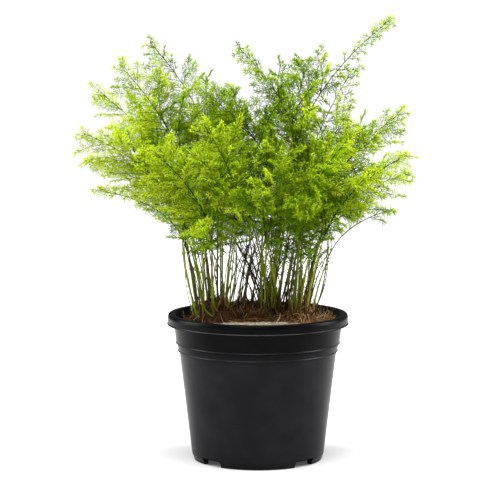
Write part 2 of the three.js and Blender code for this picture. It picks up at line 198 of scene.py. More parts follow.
def add_tubes(pile, paths, radii, tones, sides=3):
    """Tubes along paths (tubes, rings, 3), with radii (tubes, rings) and a tone for each."""
    count, rings = radii.shape
    along = unit(np.gradient(paths, axis=1))
    wheel = spokes(along, np.abs(along[:, :1, 2:]) > STEEP, sides)
    corners = paths[:, :, None] + radii[:, :, None, None] * wheel
    points = np.concatenate([corners.reshape(count, -1, 3), paths[:, :1], paths[:, -1:]], axis=1)
    tone = np.repeat(np.asarray(tones, dtype=float)[:, None], rings * sides + 2, axis=1)
    tone[:, :-2] += np.tile(0.012 * np.arange(sides), rings)
    tone[:, -2:] -= 0.012
    grain = np.concatenate([np.repeat(np.linspace(0.02, 0.98, rings), sides), [0.0, 1.0]])
    faces = tube_faces(rings, sides)
    size = rings * sides + 2
    every = (faces[None] + size * np.arange(count)[:, None, None]).reshape(-1, 3)
    pile.add(points, every, np.stack([tone, np.tile(grain, (count, 1))], axis=-1))


NEEDLE_WAIST = 0.42              # where a needle is widest, as a share of its length
NEEDLE_FACES = np.array([(0, 2, 1), (0, 3, 2), (0, 1, 3), (4, 1, 2), (4, 2, 3), (4, 3, 1)])


def add_needles(pile, bases, directions, lengths, widths, tones):
    """Closed slim needles, pointed at both ends and widest a little below the middle."""
    count = len(bases)
    along = unit(directions)
    wheel = spokes(along, np.abs(along[:, 2:]) > STEEP, 3)
    waist = bases + NEEDLE_WAIST * lengths[:, None] * along
    middle = waist[:, None] + widths[:, None, None] / 2 * wheel
    tips = bases + lengths[:, None] * along
    points = np.concatenate([bases[:, None], middle, tips[:, None]], axis=1)
    tone = tones[:, None] + np.array([0, -0.015, 0, 0.015, 0.0])
    grain = np.tile([0.0, NEEDLE_WAIST, NEEDLE_WAIST, NEEDLE_WAIST, 1.0], (count, 1))
    every = (NEEDLE_FACES[None] + 5 * np.arange(count)[:, None, None]).reshape(-1, 3)
    pile.add(points, every, np.stack([tone, grain], axis=-1))


# -------- materials

MIX_A_COLOUR, MIX_B_COLOUR, MIX_RESULT_COLOUR = 6, 7, 2    # sockets of the Mix node in RGBA


class Paint:
    """A material with one Principled shader, and short ways to add nodes that feed it."""

    def __init__(self, name):
        self.material = bpy.data.materials.new(name)
        self.material.use_nodes = True
        self.nodes = self.material.node_tree.nodes
        self.shader = next(n for n in self.nodes if n.type == "BSDF_PRINCIPLED")

    def give(self, node, inputs):
        """Set each input to a number or colour, or link it to another node's output."""
        for name, value in inputs.items():
            if isinstance(value, bpy.types.NodeSocket):
                self.material.node_tree.links.new(value, node.inputs[name])
            else:
                node.inputs[name].default_value = value

    def add(self, kind, inputs, **options):
        node = self.nodes.new("ShaderNode" + kind)
        for name, value in options.items():
            setattr(node, name, value)
        self.give(node, inputs)
        return node

    def calculate(self, operation, *values):
        return self.add("Math", dict(enumerate(values)), operation=operation).outputs[0]

    def span(self, value, low, high, to_low=0.0, to_high=1.0):
        """A value that runs from low to high, mapped to run from to_low to to_high."""
        ends = {"From Min": low, "From Max": high, "To Min": to_low, "To Max": to_high}
        return self.add("MapRange", {"Value": value, **ends}).outputs["Result"]

    def grains(self, scale, detail=6.0):
        """Noise that is fixed to the object."""
        place = self.add("TexCoord", {}).outputs["Object"]
        return self.add("TexNoise", {"Scale": scale, "Detail": detail, "Vector": place}).outputs["Fac"]

    def ramp(self, share, stops):
        node = self.add("ValToRGB", {"Fac": share})
        elements = node.color_ramp.elements
        for element, (place, colour) in zip(elements, (stops[0], stops[-1])):
            element.position = place
            element.color = (*colour, 1)
        for place, colour in stops[1:-1]:
            elements.new(place).color = (*colour, 1)
        return node.outputs["Color"]

    def blend(self, share, first, second):
        inputs = {"Factor": share, MIX_A_COLOUR: first, MIX_B_COLOUR: second}
        return self.add("Mix", inputs, data_type="RGBA").outputs[MIX_RESULT_COLOUR]

    def add_bump(self, height, distance, strength):
        bump = self.add("Bump", {"Distance": distance, "Strength": strength, "Height": height})
        self.give(self.shader, {"Normal": bump.outputs[0]})


STREAKS = 0.22                   # how far the streaks lighten and darken a tone, in all


def tone_material(name, stops, roughness, specular, see_through=0.0, grain_scale=(60.0, 5.0)):
    """A colour read from each small mesh's tone, lighter and darker in fine streaks."""
    paint = Paint(name)
    uv = paint.add("UVMap", {}, uv_map=UV_NAME).outputs["UV"]
    tone = paint.add("SeparateXYZ", {0: uv}).outputs["X"]
    stretched = paint.add("Mapping", {"Scale": (*grain_scale, 1.0), "Vector": uv}).outputs[0]
    noise_inputs = {"Scale": 1.0, "Detail": 4.0, "Vector": stretched}
    streaks = paint.add("TexNoise", noise_inputs).outputs["Fac"]
    streaked = paint.calculate("MULTIPLY_ADD", streaks, STREAKS, tone)
    colour = paint.ramp(paint.calculate("SUBTRACT", streaked, STREAKS / 2), stops)
    paint.give(paint.shader, {
        "Base Color": colour,
        "Roughness": paint.span(streaks, 0.0, 1.0, roughness - 0.08, roughness + 0.12),
        "Specular IOR Level": specular,
    })
    if see_through:
        glow = paint.add("BsdfTranslucent", {"Color": colour}).outputs[0]
        both = paint.add("MixShader", {"Fac": see_through, 1: paint.shader.outputs[0], 2: glow})
        output = next(n for n in paint.nodes if n.type == "OUTPUT_MATERIAL")
        paint.give(output, {"Surface": both.outputs[0]})
    return paint.material


def earth_material(name, stops, scale, bump_strength):
    """Loose crumbly matter: two sizes of noise for its colour and its bumps."""
    paint = Paint(name)
    sizes = {"A": paint.grains(scale), "B": paint.grains(scale * 4.5)}
    crumbs = paint.add("Mix", {"Factor": 0.45, **sizes}).outputs["Result"]
    paint.give(paint.shader, {
        "Base Color": paint.ramp(crumbs, stops),
        "Roughness": 0.95,
        "Specular IOR Level": 0.15,
    })
    paint.add_bump(crumbs, 0.6 * MM, bump_strength)
    return paint.material


MATT_BLACK = [(0.4, (0.0078, 0.0079, 0.0088)), (0.75, (0.0125, 0.0125, 0.0136))]
# Painted shade: the collar under the rim is painted this blacker black, standing in for the rim's
# shadow.
COLLAR_SHADE_BLACK = [(0.4, (0.0012, 0.0012, 0.0015)), (0.75, (0.0030, 0.0030, 0.0034))]
# Painted highlight: a paler grey painted on the upward-facing bevels of the lip and the beads, where
# the top lamp would glint.
BEAD_HIGHLIGHT_GREY = [(0.35, (0.012, 0.012, 0.013)), (0.7, (0.04, 0.04, 0.042))]


def plastic_material(wall_top, collar_bottom, lip_top):
    """Black moulded plastic: matt wall, a collar painted blacker as painted shade under the rim, and
    painted highlights, a paler grey on faces that look upwards, from the lip down.
    """
    paint = Paint("pot_plastic")
    scuffs = paint.grains(55.0, 8.0)
    place = paint.add("TexCoord", {})
    height = paint.add("SeparateXYZ", {0: place.outputs["Object"]}).outputs["Z"]
    facing = paint.add("SeparateXYZ", {0: place.outputs["Normal"]}).outputs["Z"]
    matt, collar_shade, edge = (paint.ramp(scuffs, stops) for stops in (MATT_BLACK, COLLAR_SHADE_BLACK, BEAD_HIGHLIGHT_GREY))
    # Painted shade: the wall's colour turns to the blacker collar colour towards the top, under the
    # rim.
    plain = paint.blend(paint.span(height, wall_top, collar_bottom), matt, collar_shade)
    # Painted highlight: faces that look upwards, from the lip down, are painted paler grey.
    faces_up = paint.span(facing, 0.4, 0.55)
    below_lip = paint.span(height, lip_top + 0.5 * MM, lip_top)
    painted_highlight_mask = paint.calculate("MULTIPLY", faces_up, below_lip)
    paint.give(paint.shader, {
        "Base Color": paint.blend(painted_highlight_mask, plain, edge),
        "Roughness": paint.span(scuffs, 0.0, 1.0, 0.26, 0.38),
        "Specular IOR Level": 0.04,
    })
    paint.add_bump(paint.grains(2600.0, 2.0), 0.05 * MM, 0.35)
    return paint.material


FOLIAGE = tone_material("fern_green", [
    (0.0, (0.02, 0.014, 0.003)),
    (0.12, (0.035, 0.035, 0.004)),
    (0.28, (0.045, 0.095, 0.002)),
    (0.5, (0.11, 0.23, 0.003)),
    (0.72, (0.3, 0.46, 0.006)),
    (1.0, (0.62, 0.74, 0.03)),
], roughness=0.6, specular=0.03, see_through=0.42)

STALK = tone_material("fern_stalk", [
    (0.0, (0.008, 0.005, 0.002)),
    (0.2, (0.03, 0.018, 0.005)),
    (0.4, (0.07, 0.05, 0.005)),
    (0.6, (0.11, 0.13, 0.006)),
    (0.8, (0.17, 0.23, 0.008)),
    (1.0, (0.34, 0.4, 0.02)),
], roughness=0.5, specular=0.12, grain_scale=(40.0, 14.0))

FIBRE = tone_material("root_fibre", [
    (0.0, (0.012, 0.006, 0.003)),
    (0.25, (0.03, 0.012, 0.004)),
    (0.5, (0.13, 0.052, 0.014)),
    (0.75, (0.45, 0.22, 0.065)),
    (1.0, (0.8, 0.62, 0.36)),
], roughness=0.8, specular=0.2)

SOIL = earth_material("peat", [
    (0.3, (0.004, 0.0022, 0.0012)),
    (0.5, (0.014, 0.007, 0.003)),
    (0.7, (0.06, 0.028, 0.012)),
], 320.0, 1.0)

CRUST = earth_material("pale_crust", [
    (0.36, (0.05, 0.03, 0.016)),
    (0.46, (0.24, 0.18, 0.125)),
    (0.56, (0.42, 0.36, 0.29)),
    (0.7, (0.66, 0.61, 0.54)),
], 420.0, 0.9)


# -------- pot

def turned(profile, segments):
    """Corners and faces of a closed outline turned about the Z axis; its ends are on it."""
    inner = profile[1:-1]
    points = [point for radius, z in inner for point in circle(radius, z, segments)]
    points += [(0, 0, profile[0][1]), (0, 0, profile[-1][1])]
    return points, lathe_faces(len(inner), segments)


def rounded(corners, segments=5):
    """An outline whose corners (radius, height, fillet) are rounded off."""
    line = [corners[0][:2]]
    for before, corner, after in zip(corners, corners[1:], corners[2:]):
        here = np.array(corner[:2])
        to_before, to_after = np.array(before[:2]) - here, np.array(after[:2]) - here
        reach = min(corner[2], np.linalg.norm(to_before) / 2.1, np.linalg.norm(to_after) / 2.1)
        if reach < 1e-5:
            line.append(tuple(here))
            continue
        start, end = here + unit(to_before) * reach, here + unit(to_after) * reach
        for share in np.linspace(0, 1, segments):
            curve = (1 - share) ** 2 * start + 2 * share * (1 - share) * here + share ** 2 * end
            line.append(tuple(curve))
    line.append(corners[-1][:2])
    return line


COLLAR_STEPS = (27 * MM, 21.4 * MM)    # how far below the top the wall steps out
COLLAR_STEP = 0.8 * MM                 # and by how much, at each of the two
RIM_DEPTH = 7.5 * MM
LIP = 0.6 * MM                         # the bevel along the rim's lower edge
FOOT_HEIGHT = 2.4 * MM


def wall_radius(height, pot):
    share = (height - pot["floor"]) / (pot["rim_bottom"] - pot["floor"])
    return mix(pot["base"], pot["collar"], share)


def beaded_step(pot, height, steps):
    """The wall steps out by one step at this height, under a small bead that catches the light."""
    bead, rise, edge = 0.45 * MM, 0.45 * MM, 0.1 * MM
    out = wall_radius(height, pot) + (steps + 1) * COLLAR_STEP
    return [
        (out - COLLAR_STEP, height, edge),
        (out + bead, height + rise, edge),
        (out, height + rise + 1.33 * bead, edge),
    ]


def pot_outline(pot):
    """Half the pot's section, from the middle of its underside round to that of its floor."""
    rim, top, bottom = pot["rim"], pot["height"], pot["rim_bottom"]
    foot, floor = pot["foot"], pot["floor"]
    neck = top - 3.2 * MM

    def inside(height):
        return wall_radius(height, pot) - pot["wall"]

    return rounded([
        (0, 0, 0),
        (0.27 * foot, 0, 0.4 * MM),
        (0.27 * foot, FOOT_HEIGHT, 0.4 * MM),
        (foot - 4 * MM, FOOT_HEIGHT, 0.5 * MM),
        (foot - 4 * MM, 0, 0.4 * MM),
        (foot, 0, 0.5 * MM),
        (foot + 0.2 * MM, 1.6 * MM, 0.5 * MM),
        (pot["base"], floor, 0.7 * MM),
        *beaded_step(pot, top - COLLAR_STEPS[0], 0),
        *beaded_step(pot, top - COLLAR_STEPS[1], 1),
        (wall_radius(neck, pot) + 2 * COLLAR_STEP, neck, 0.5 * MM),
        (rim - 1.9 * MM, neck, 0.5 * MM),
        (rim - 1.9 * MM, bottom, 0.3 * MM),
        (rim, bottom, 0.2 * MM),
        (rim, bottom + LIP, 0.12 * MM),
        (rim - LIP, bottom + 2 * LIP, 0.12 * MM),
        (rim - 0.4 * MM, top - 2.4 * MM, 0.8 * MM),
        (rim - 1.1 * MM, top, 1.0 * MM),
        (rim - 5.4 * MM, top, 1.2 * MM),
        (inside(top - 5 * MM), top - 5 * MM, 1.0 * MM),
        (inside(floor + 2 * MM), floor + 2 * MM, 1.5 * MM),
        (inside(floor) - 1.5 * MM, floor, 1.0 * MM),
        (0, floor, 0),
    ])


def make_pot():
    high = box_of("pot")[1]
    pot = {
        "rim": high[0], "height": high[2], "rim_bottom": high[2] - RIM_DEPTH,
        "foot": 46 * MM, "base": 47.4 * MM, "collar": 58.6 * MM, "floor": 4 * MM,
        "wall": 1.4 * MM,
    }
    wall_top, collar_bottom = pot["height"] - 29 * MM, pot["height"] - 20 * MM
    plastic = plastic_material(wall_top, collar_bottom, pot["rim_bottom"] + 2.5 * LIP)
    piece = new_solid("pot_shell", *turned(pot_outline(pot), 192), plastic)
    cut_notches(piece, count=4, width=17 * MM, height=5 * MM, inner=40.5 * MM, outer=56 * MM)
    piece.data.shade_smooth()
    piece.data.set_sharp_from_angle(angle=math.radians(30))
    hand_over(piece, "pot_plastic", "pot")


def cut_notches(piece, count, width, height, inner, outer):
    """Drain notches cut through the base edge, evenly round the pot."""
    corners, faces = [], []
    for index in range(count):
        turn = (index + 0.5) * 2 * math.pi / count
        along = Vector((math.cos(turn), math.sin(turn), 0))
        across = Vector((-math.sin(turn), math.cos(turn), 0))
        start = len(corners)
        for z in (-height, height):
            for reach, side in ((inner, -1), (outer, -1), (outer, 1), (inner, 1)):
                corners.append(along * reach + across * side * width / 2 + Vector((0, 0, z)))
        quads = [(0, 3, 2, 1), (4, 5, 6, 7), (0, 1, 5, 4), (1, 2, 6, 5), (2, 3, 7, 6), (3, 0, 4, 7)]
        faces += [tuple(start + k for k in quad) for quad in quads]
    mesh = bpy.data.meshes.new("notch_cutter")
    mesh.from_pydata(corners, [], faces)
    cutter = bpy.data.objects.new("notch_cutter", mesh)
    bpy.context.scene.collection.objects.link(cutter)
    modifier = piece.modifiers.new("notches", "BOOLEAN")
    modifier.operation = "DIFFERENCE"
    modifier.object = cutter
    modifier.solver = "EXACT"
    graph = bpy.context.evaluated_depsgraph_get()
    cut = bpy.data.meshes.new_from_object(piece.evaluated_get(graph))
    piece.modifiers.clear()
    piece.data = cut
    bpy.data.objects.remove(cutter)


# -------- soil, crust and crowns

SOIL_LOW, SOIL_HIGH = box_of("substrate")
SOIL_RADIUS = SOIL_HIGH[0]
SOIL_DOME = 3 * MM
SOIL_EDGE = SOIL_HIGH[2] - SOIL_DOME


def soil_height(x, y):
    return SOIL_EDGE + SOIL_DOME * (1 - (x * x + y * y) / SOIL_RADIUS ** 2)


def roughness_at(point, size, octaves=4):
    return noise.fractal(Vector(point) / size, 0.7, 2.1, octaves)


def make_soil():
    rings, around = 64, 220
    bottom = SOIL_LOW[2]
    points = circle(0.76 * SOIL_RADIUS, bottom, around)
    points += circle(0.79 * SOIL_RADIUS, bottom + 2 * MM, around)
    for ring in range(rings + 1):
        radius = SOIL_RADIUS * (1 - (ring / rings) * 0.995)
        edge = min(1.0, (SOIL_RADIUS - radius) / (4 * MM))
        for x, y, _ in circle(radius, 0, around):
            lumps = 0.9 * MM * roughness_at((x, y, 0), 6 * MM) - 0.5 * MM * (1 - edge)
            points.append((x, y, soil_height(x, y) + lumps))
    points += [(0, 0, bottom), (0, 0, SOIL_HIGH[2])]
    piece = new_solid("peat_mix", points, lathe_faces(rings + 3, around), SOIL)
    hand_over(piece, "soil", "substrate")


def curled_paths(rng, starts, headings, lengths, rings, curl, lift):
    """Loose curved fibres: each heading turns level by curl, and rises or falls by lift."""
    count = len(starts)
    paths = np.empty((count, rings, 3))
    paths[:, 0] = starts
    turn = rng.uniform(-curl, curl, count) / rings
    slope = rng.uniform(-lift, lift, count)
    slope_turn = rng.uniform(-lift, lift, count) / rings * 2
    for ring in range(1, rings):
        headings = headings + turn
        slope = slope + slope_turn
        level = np.cos(slope)
        step = np.stack([np.cos(headings) * level, np.sin(headings) * level, np.sin(slope)], 1)
        paths[:, ring] = paths[:, ring - 1] + step * (lengths / (rings - 1))[:, None]
    return paths


def keep_in_pot(paths):
    """Fibres stay inside the pot and just on top of the soil."""
    radius = np.hypot(paths[..., 0], paths[..., 1])
    shrink = np.minimum(1, (SOIL_RADIUS - 1.2 * MM) / np.maximum(radius, 1e-6))
    paths[..., 0] *= shrink
    paths[..., 1] *= shrink
    floor = soil_height(paths[..., 0], paths[..., 1]) + 0.1 * MM
    paths[..., 2] = np.maximum(paths[..., 2], floor)
    return paths


SOIL_FIBRES = 2600
CROWN_FIBRES = 520               # on a crown of 17 mm by 17 mm half width, and 200 more on any
SHEATHS = 16                     # round each stem's foot


def make_soil_fibres():
    """Coir strands lying on the soil, paler towards the right and sparser over the crust."""
    rng = seeded("soil_fibres")
    pile = Pile()
    count = SOIL_FIBRES
    angle = rng.uniform(0, 2 * np.pi, count)
    radius = SOIL_RADIUS * 0.97 * np.sqrt(rng.uniform(0.02, 1, count))
    x, y = radius * np.cos(angle), radius * np.sin(angle)
    bare = (y < -20 * MM) & (np.abs(x) < 30 * MM) & (rng.uniform(0, 1, count) < 0.55)
    x, y = x[~bare], y[~bare]
    lengths = rng.uniform(4, 17, len(x)) * MM
    starts = np.stack([x, y, soil_height(x, y) + rng.uniform(0, 1.6, len(x)) * MM], 1)
    headings = rng.uniform(0, 2 * np.pi, len(x))
    paths = keep_in_pot(curled_paths(rng, starts, headings, lengths, 6, 2.4, 0.5))
    thick = rng.uniform(0.08, 0.22, len(x)) * MM
    radii = thick[:, None] * np.linspace(1, 0.5, 6)
    tones = np.clip(0.42 + 0.3 * x / SOIL_RADIUS + rng.normal(0, 0.28, len(x)), 0.05, 0.97)
    add_tubes(pile, paths, radii, tones)
    piece = pile.build("coir_strands", FIBRE)
    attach(piece, "root")


def crown_shape(node):
    low, high = box_of(node)
    middle, half = (low + high) / 2, (high - low) / 2
    height = high[2] - soil_height(middle[0], middle[1])
    return middle, half, height


def crown_height(shape, x, y):
    middle, half, height = shape
    away = ((x - middle[0]) / half[0]) ** 2 + ((y - middle[1]) / half[1]) ** 2
    return soil_height(x, y) + height * np.maximum(0, 1 - away)


def make_crown(node):
    """A knobbly mound of old stem bases, matted over with root fibre."""
    rng = seeded(node)
    shape = crown_shape(node)
    middle, half, _ = shape
    pile = Pile()
    add_mound(pile, shape, node)
    count = int(CROWN_FIBRES * half[0] * half[1] / (17 * MM) ** 2) + 200
    away = np.sqrt(rng.uniform(0, 1.25, count))
    angle = rng.uniform(0, 2 * np.pi, count)
    x = middle[0] + half[0] * away * np.cos(angle)
    y = middle[1] + half[1] * away * np.sin(angle)
    starts = np.stack([x, y, crown_height(shape, x, y) - 0.4 * MM], 1)
    lengths = rng.uniform(6, 20, count) * MM
    outward = angle + rng.normal(0, 1.1, count)
    paths = curled_paths(rng, starts, outward, lengths, 7, 2.2, 0.8)
    surface = crown_height(shape, paths[..., 0], paths[..., 1])
    loose = rng.uniform(0, 1.8, count)[:, None] * MM
    paths[..., 2] = np.clip(paths[..., 2], surface + 0.05 * MM, surface + 0.3 * MM + loose)
    paths = keep_in_pot(paths)
    thick = rng.uniform(0.08, 0.26, count) * MM
    tones = np.clip(rng.normal(0.42, 0.2, count) + 0.25 * middle[0] / SOIL_RADIUS, 0.03, 0.95)
    add_tubes(pile, paths, thick[:, None] * np.linspace(1, 0.45, 7), tones)
    add_sheaths(pile, node, rng)
    piece = pile.build(f"{node}_fibre", FIBRE)
    hand_over(piece, "crown_fibre", node)


def add_mound(pile, shape, name):
    """A lumpy dome on the soil, closed below."""
    middle, half, _ = shape
    around, rings = 90, 26
    shares = np.concatenate([[0.2, 0.6], np.linspace(1, 0.03, rings)])
    points, tones = [], []
    offset = float(zlib.crc32(name.encode()) % 97)
    for ring, share in enumerate(shares):
        below = ring < 2
        for step in range(around):
            angle = 2 * math.pi * step / around
            x = middle[0] + half[0] * share * math.cos(angle)
            y = middle[1] + half[1] * share * math.sin(angle)
            z = soil_height(x, y) if below else float(crown_height(shape, x, y))
            lumps = roughness_at((x, y, z + offset), 4.5 * MM)
            lift = 0 if below else 1.5 * MM * lumps * min(1, 4 * (1.02 - share))
            points.append((x, y, z + lift))
            tones.append((0.24 + 0.16 * lumps, 0.05 + 0.9 * step / around))
    points.append((middle[0], middle[1], soil_height(middle[0], middle[1])))
    points.append((middle[0], middle[1], float(crown_height(shape, middle[0], middle[1]))))
    tones += [(0.2, 0.0), (0.3, 1.0)]
    pile.add(np.array(points), tube_faces(len(shares), around), np.array(tones))


def add_sheaths(pile, node, rng):
    """Ragged dry fibres that stand round the foot of each stem on this crown."""
    low, high = box_of(node)
    for name in [f"stem_{s}" for s in SHOOTS] + DRY_STEMS:
        foot = stem_line(name)[0][0]
        if not (low[0] <= foot[0] <= high[0] and low[1] <= foot[1] <= high[1]):
            continue
        count = SHEATHS
        angle = rng.uniform(0, 2 * np.pi, count)
        reach = rng.uniform(0.9, 2.6, count) * MM
        outward = np.stack([np.cos(angle), np.sin(angle), 0 * angle], 1)
        starts = foot + reach[:, None] * outward - 3 * MM * Z_AXIS
        lengths = rng.uniform(5, 17, count) * MM
        rise = np.linspace(0, 1, 5)[None, :, None]
        lean = rng.normal(0.0, 0.22, count)[:, None, None]
        bent = rise * Z_AXIS + lean * rise ** 2 * outward[:, None]
        paths = starts[:, None] + lengths[:, None, None] * bent
        radii = rng.uniform(0.1, 0.34, count)[:, None] * MM * np.linspace(1, 0.3, 5)
        add_tubes(pile, paths, radii, np.clip(rng.normal(0.42, 0.2, count), 0.05, 0.95))


def make_crust():
    """A thin pale crescent inside the front of the rim, with an uneven edge."""
    outer = -box_of("lime_crust")[0][1] - 0.4 * MM
    steps, across = 150, 26
    half_angle = 0.95
    points = []
    for step in range(steps + 1):
        share = 2 * step / steps - 1
        angle = -math.pi / 2 + share * half_angle
        wobble = 4.5 * MM * roughness_at((share * 60 * MM, 0, 0.3), 9 * MM)
        inside = mix(0.4, 0.84, share ** 2) * outer + wobble
        outside = outer - 3 * MM * share ** 4
        for place in range(across + 1):
            radius = mix(inside, outside, place / across)
            x, y = radius * math.cos(angle), radius * math.sin(angle)
            rim = min(1, 5 * min(place, across - place) / across, 8 * (1 - abs(share)))
            grit = 0.5 + 0.5 * roughness_at((x, y, 0.1), 2.2 * MM)
            points.append((x, y, soil_height(x, y) + 0.3 * MM + rim * (1.0 + 0.9 * grit) * MM))
    top = len(points)
    points += [(x, y, soil_height(x, y) - 0.6 * MM) for x, y, _ in points]
    row = across + 1
    faces = []
    for step in range(steps):
        for place in range(across):
            a = step * row + place
            faces.append((a, a + 1, a + row + 1, a + row))
            faces.append((top + a, top + a + row, top + a + row + 1, top + a + 1))
    edge = list(range(row))
    edge += [k * row + across for k in range(1, steps + 1)]
    edge += [steps * row + k for k in range(across - 1, -1, -1)]
    edge += [k * row for k in range(steps - 1, 0, -1)]
    for here, following in zip(edge, edge[1:] + edge[:1]):
        faces.append((following, here, top + here, top + following))
    piece = new_solid("crust_sheet", points, faces, CRUST)
    piece.data.shade_smooth()
    hand_over(piece, "crust", "lime_crust")


# -------- shapes read from the frame

def stem_line(node):
    """Centres and radii of a CAD stem's rings, foot first."""
    points = node_points(node)
    rings = points[np.argsort(points[:, 2])].reshape(-1, 6, 3)
    centres = rings.mean(axis=1)
    return centres, np.linalg.norm(rings - centres[:, None], axis=2).mean(axis=1)


def smooth_path(centres, count):
    """A finer path through centres, by Catmull-Rom."""
    ends = np.vstack([2 * centres[0] - centres[1], centres, 2 * centres[-1] - centres[-2]])
    place = np.linspace(0, len(centres) - 1 - 1e-9, count)
    k = place.astype(int)
    t = (place - k)[:, None]
    a, b, c, d = ends[k], ends[k + 1], ends[k + 2], ends[k + 3]
    square, cube = 2 * a - 5 * b + 4 * c - d, 3 * b - a - 3 * c + d
    return 0.5 * (2 * b + (c - a) * t + square * t ** 2 + cube * t ** 3)


def frond_outline(share):
    """How far a frond reaches from its midrib, as a share of its half width."""
    return np.sin(np.pi * np.minimum(1, 0.06 + 0.94 * share) ** 0.55) ** 0.8


def bezier(start, bend, tip, share):
    t = np.asarray(share)[..., None]
    return (1 - t) ** 2 * start + 2 * t * (1 - t) * bend + t ** 2 * tip


def path_length(path):
    return np.linalg.norm(np.diff(path, axis=0), axis=1).sum()


def cross_directions(along):
    level = unit(np.cross(Z_AXIS, along))
    return level, np.cross(along, level)


def frond_shape(name):
    """Midrib curve, half width and roll of a frond, from its blade and its stem's end."""
    stem_end = stem_line(f"stem_{name}")[0][-1]
    points = node_points(f"frond_{name}")
    nearest = np.argsort(np.linalg.norm(points - stem_end, axis=1))[:4]
    start = points[nearest].mean(axis=0)
    farthest = np.argsort(-np.linalg.norm(points - start, axis=1))[:4]
    tip = points[farthest].mean(axis=0)
    bend = start + unit(start - stem_end) * 0.45 * np.linalg.norm(tip - start)
    share = np.linspace(0, 1, 241)
    line = bezier(start, bend, tip, share)
    level, upward = cross_directions(unit(np.gradient(line, axis=0)))
    closest = np.argmin(np.linalg.norm(points[:, None] - line[None], axis=2), axis=1)
    away = points - line[closest]
    flat = (away * level[closest]).sum(axis=1)
    high = (away * upward[closest]).sum(axis=1)
    roll = 0.5 * math.atan2(2 * (flat * high).sum(), (flat ** 2 - high ** 2).sum())
    reach = np.hypot(flat, high) / np.maximum(frond_outline(share[closest]), 0.3)
    return {"start": start, "bend": bend, "tip": tip, "half_width": reach.max(), "roll": roll}


# -------- stems

STEM_SLIMNESS = 0.74             # a stem's thickness, as a share of its CAD stem's
STEM_STEPS = 60
DRY_STEPS = 24
DEAD_COMPANIONS = 9              # thinner dead stems beside each one of the CAD model
YOUNG_STEMS = {"left": 4, "back": 2, "top": 3, "front": 4, "right": 2}


def rooted_stem(node, steps):
    """A CAD stem from a little below its foot: path, radii, shares of the way up; foot height."""
    centres, radii = stem_line(node)
    below = centres[0] - unit(centres[1] - centres[0]) * 4 * MM
    share = np.linspace(0, 1, steps)
    radius = np.interp(share, np.linspace(0, 1, len(radii)), radii)
    return smooth_path(np.vstack([below, centres]), steps), radius, share, centres[0][2]


def make_stem(name):
    """The living stem, and finer younger ones that rise beside it."""
    rng = seeded(name)
    node = f"stem_{name}"
    path, radius, share, _ = rooted_stem(node, STEM_STEPS)
    radius = radius * STEM_SLIMNESS
    pile = Pile()
    tone = rng.uniform(0.42, 0.95)
    add_tubes(pile, path[None], radius[None], [tone], sides=7)
    add_scales(pile, rng, path, radius, tone)
    for _ in range(YOUNG_STEMS[name.split("_")[0]]):
        lean = np.append(rng.normal(0, 4.5, 2) * MM, 0)
        apart = np.append(rng.normal(0, 3.0, 2) * MM, 0)
        young = path + apart + lean * np.sin(math.pi * share ** 0.8)[:, None]
        slim = radius * rng.uniform(0.5, 0.8)
        tone = rng.uniform(0.3, 0.85)
        add_tubes(pile, young[None], slim[None], [tone], sides=6)
        add_scales(pile, rng, young, slim, tone)
    piece = pile.build(f"{node}_stalk", STALK)
    hand_over(piece, "green_stem", node)


def add_scales(pile, rng, path, radius, tone):
    """Small papery scale leaves, pressed against the stem at its joints."""
    count = int(path_length(path) / (11 * MM))
    places = np.linspace(0.12, 0.97, count) + rng.normal(0, 0.012, count)
    index = np.clip((places * (len(path) - 1)).astype(int), 1, len(path) - 2)
    along = unit(path[index + 1] - path[index - 1])
    angle = rng.uniform(0, 2 * np.pi, count)
    level, upward = cross_directions(along)
    outward = np.cos(angle)[:, None] * level + np.sin(angle)[:, None] * upward
    bases = path[index] + outward * radius[index][:, None] * 0.7
    add_needles(pile, bases, along + 0.35 * outward, rng.uniform(2, 3.4, count) * MM,
                1.5 * radius[index], np.full(count, tone - 0.25))


def make_dry_stem(node):
    """A dead stem, with thinner dead stems that arch beside it, and their twigs."""
    rng = seeded(node)
    path, radius, share, foot = rooted_stem(node, DRY_STEPS)
    pile = Pile()
    add_tubes(pile, path[None], radius[None], [0.12], sides=6)
    add_dead_twigs(pile, rng, path)
    for _ in range(DEAD_COMPANIONS):
        shift = np.append(rng.normal(0, 5, 2) * MM, 0)
        arch = share[:, None] ** 1.8
        swing = np.append(rng.normal(0, 9, 2), rng.uniform(-6, 4)) * MM
        mate = path + shift + arch * swing
        mate[:, 2] = foot - 3 * MM + (mate[:, 2] - mate[0, 2]) * rng.uniform(0.7, 1.15)
        thin = np.linspace(rng.uniform(0.4, 0.8), 0.22, DRY_STEPS) * MM
        add_tubes(pile, mate[None], thin[None], [rng.uniform(0.02, 0.35)], sides=5)
        add_dead_twigs(pile, rng, mate)
    piece = pile.build(f"{node}_twigs", STALK)
    hand_over(piece, "dry_stem", node)


def add_dead_twigs(pile, rng, path):
    count = 7
    index = rng.integers(8, len(path) - 1, count)
    angle = rng.uniform(0, 2 * np.pi, count)
    lengths = rng.uniform(5, 16, count) * MM
    heading = np.stack([np.cos(angle), 0.6 * np.sin(angle), rng.uniform(0.2, 1.1, count)], 1)
    share = np.linspace(0, 1, 6)[None, :, None]
    droop = -0.35 * share ** 2 * lengths[:, None, None] * Z_AXIS
    paths = path[index][:, None] + share * lengths[:, None, None] * unit(heading)[:, None] + droop
    radii = np.full((count, 1), 0.2 * MM) * np.linspace(1, 0.45, 6)
    add_tubes(pile, paths, radii, rng.uniform(0.02, 0.25, count))


# -------- fronds

